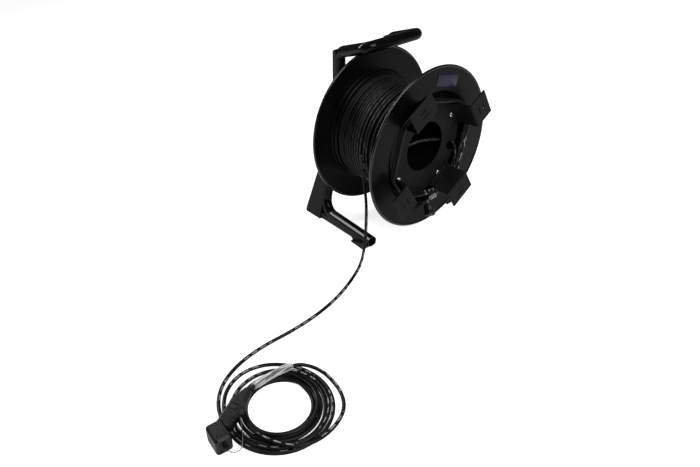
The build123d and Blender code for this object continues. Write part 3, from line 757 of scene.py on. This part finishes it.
PIN_PROFILE = ((0, 0.0006, False), (0.0016, 0.0006, False), (0.002, 0.0003, False))
PIN_CIRCLE_R = 0.0031
PIN_SUNK = 0.0010
pin_side = plug_axis.orthogonal().normalized()
for number in range(4):
    turn = pi / 4 + number * pi / 2
    offset = PIN_CIRCLE_R * (cos(turn) * pin_side + sin(turn) * plug_axis.cross(pin_side))
    pin_start = PLUG_FRONT - PIN_SUNK * plug_axis + offset
    add_mesh(
        f"plug_pin_{number + 1}",
        turned_mesh("plug_pin", PIN_PROFILE, pin_start, plug_axis, sides=12),
        SCREW,
        "drum",
    )


# Connector's trim: the latch on its body, and ribs on the boot and on the dust cap

CONNECTOR_AXIS = Vector((-0.92, -0.39, -0.13)).normalized()
LATCH_ALONG, LATCH_ABOVE = 0.0345, 0.0079
BOOT_RIB_ALONG, BOOT_RIB_ABOVE = 0.0225, 0.0088
BOOT_RIB_SPACING = 0.0022
CAP_TOP = on_floor(-576, -234, 26)
CAP_ACROSS = Vector((-0.12, -1, 0)).normalized()
CAP_RIB_SPACING = 0.0055
body_across = UP.cross(CONNECTOR_AXIS).normalized()
body_top = CONNECTOR_AXIS.cross(body_across).normalized()


def on_connector(along, above):
    """A place on top of the boot or the body, so far from the boot's rear and above its axis."""
    return frame_at(BOOT_REAR + CONNECTOR_AXIS * along + body_top * above, body_across, body_top)


latch_place = on_connector(LATCH_ALONG, LATCH_ABOVE)
latch = add_mesh(
    "body_latch",
    bar_mesh("body_latch", width=0.010, height=0.006, depth=0.0014, corner=0.0015, place=latch_place),
    BOOT,
    "frame",
)
for number in range(3):
    rib_place = on_connector(BOOT_RIB_ALONG + BOOT_RIB_SPACING * number, BOOT_RIB_ABOVE)
    add_mesh(
        f"boot_rib_{number + 1}",
        bar_mesh("boot_rib", width=0.015, height=0.0011, depth=0.0006, corner=0.0005, place=rib_place),
        BOOT,
        "frame",
    )
for number in range(3):
    offset = CAP_RIB_SPACING * (number - 1) * UP.cross(CAP_ACROSS)
    rib_place = frame_at(CAP_TOP + offset, CAP_ACROSS, UP)
    add_mesh(
        f"cap_rib_{number + 1}",
        bar_mesh("cap_rib", width=0.022, height=0.0014, depth=0.0007, corner=0.0006, place=rib_place),
        SHELL,
        "frame",
    )


# Stage: a white floor that keeps the shadows, and a dim world that the camera sees as pale

FLOOR_REACH = 30
FLOOR_DROP = 0.0002
FLOOR_GLOW = 0.82
MIRRORED_SHARE = 0.1
WORLD_LIGHT = 0.08
WORLD_SEEN = 0.9


def floor_white(name):
    """A pale floor that glows for the camera and far less for glossy surfaces."""
    pale = Finish(name, (0.9, 0.9, 0.9), 0.8, Specular_IOR_Level=0.05)
    pale.colour(pale.mix(pale.between(pale.noise(0.8), 0.4, 0.6), (0.89, 0.89, 0.89), (0.91, 0.91, 0.91)))
    rays = pale.node("ShaderNodeLightPath")
    mirrored = pale.math("MULTIPLY", rays.outputs["Is Glossy Ray"], MIRRORED_SHARE)
    seen = pale.math("MAXIMUM", rays.outputs["Is Camera Ray"], mirrored)
    seen = pale.math("MAXIMUM", seen, rays.outputs["Is Transmission Ray"])
    pale.link(pale.math("MULTIPLY", seen, FLOOR_GLOW), pale.shader.inputs["Emission Strength"])
    pale.shader.inputs["Emission Color"].default_value = WHITE
    return pale.material


floor_mesh = bpy.data.meshes.new("floor")
grid = bmesh.new()
bmesh.ops.create_grid(grid, x_segments=1, y_segments=1, size=FLOOR_REACH)
grid.to_mesh(floor_mesh)
grid.free()
floor_mesh.materials.append(floor_white("floor_white"))
floor = bpy.data.objects.new("floor", floor_mesh)
bpy.context.scene.collection.objects.link(floor)
floor.location = (0, 0, -FLOOR_DROP)

world = bpy.data.worlds.new("world")
bpy.context.scene.world = world
world.use_nodes = True
background = world.node_tree.nodes["Background"]
background.inputs["Color"].default_value = WHITE
world_rays = world.node_tree.nodes.new("ShaderNodeLightPath")
brightness = world.node_tree.nodes.new("ShaderNodeMapRange")
brightness.inputs["To Min"].default_value = WORLD_LIGHT
brightness.inputs["To Max"].default_value = WORLD_SEEN
world.node_tree.links.new(world_rays.outputs["Is Camera Ray"], brightness.inputs["Value"])
world.node_tree.links.new(brightness.outputs["Result"], background.inputs["Strength"])


# Light: a large soft key, a strip for the long glints and a small light from behind


def add_light(name, place, target, length, width, power, along=UP):
    """A soft light at a place, aimed at a target, with its long side as near to along as it can be."""
    light = bpy.data.lights.new(name, "AREA")
    light.shape = "RECTANGLE"
    light.size, light.size_y = length, width
    light.energy = power
    lamp = bpy.data.objects.new(name, light)
    bpy.context.scene.collection.objects.link(lamp)
    lamp.matrix_world = frame_at(Vector(place), Vector(along), Vector(place) - Vector(target))


add_light(
    "key", place=(-0.2, -1.6, 1.8), target=(-0.15, -0.1, 0.15), length=1.6, width=1.6, power=38,
)
add_light(
    "strip", place=(-0.75, 1.0, 0.95), target=(0, 0, 0.2), length=1.0, width=0.25, power=14,
    along=(1, 0, 1.05),
)
add_light("back", place=(0.1, 1.2, 1.5), target=(0, 0, 0.3), length=0.6, width=0.6, power=3)


# Camera: its azimuth counts from the front towards +X, and its elevation from the floor

CAMERA_PLACE = Vector((-0.7892, -0.7357, 0.6792))
AZIMUTH, ELEVATION = radians(-42.38), radians(34.4)
LENS_MM = 31.17
SENSOR_MM = 36

camera_data = bpy.data.cameras.new("camera")
camera_data.sensor_width = SENSOR_MM
camera_data.lens = LENS_MM
camera_data.clip_start = 0.01
camera = bpy.data.objects.new("camera", camera_data)
bpy.context.scene.collection.objects.link(camera)
right = Vector((cos(AZIMUTH), sin(AZIMUTH), 0))
back = Vector((sin(AZIMUTH) * cos(ELEVATION), -cos(AZIMUTH) * cos(ELEVATION), sin(ELEVATION)))
camera.matrix_world = frame_at(CAMERA_PLACE, right, back)
bpy.context.scene.camera = camera
bpy.context.scene.view_settings.view_transform = "Standard"
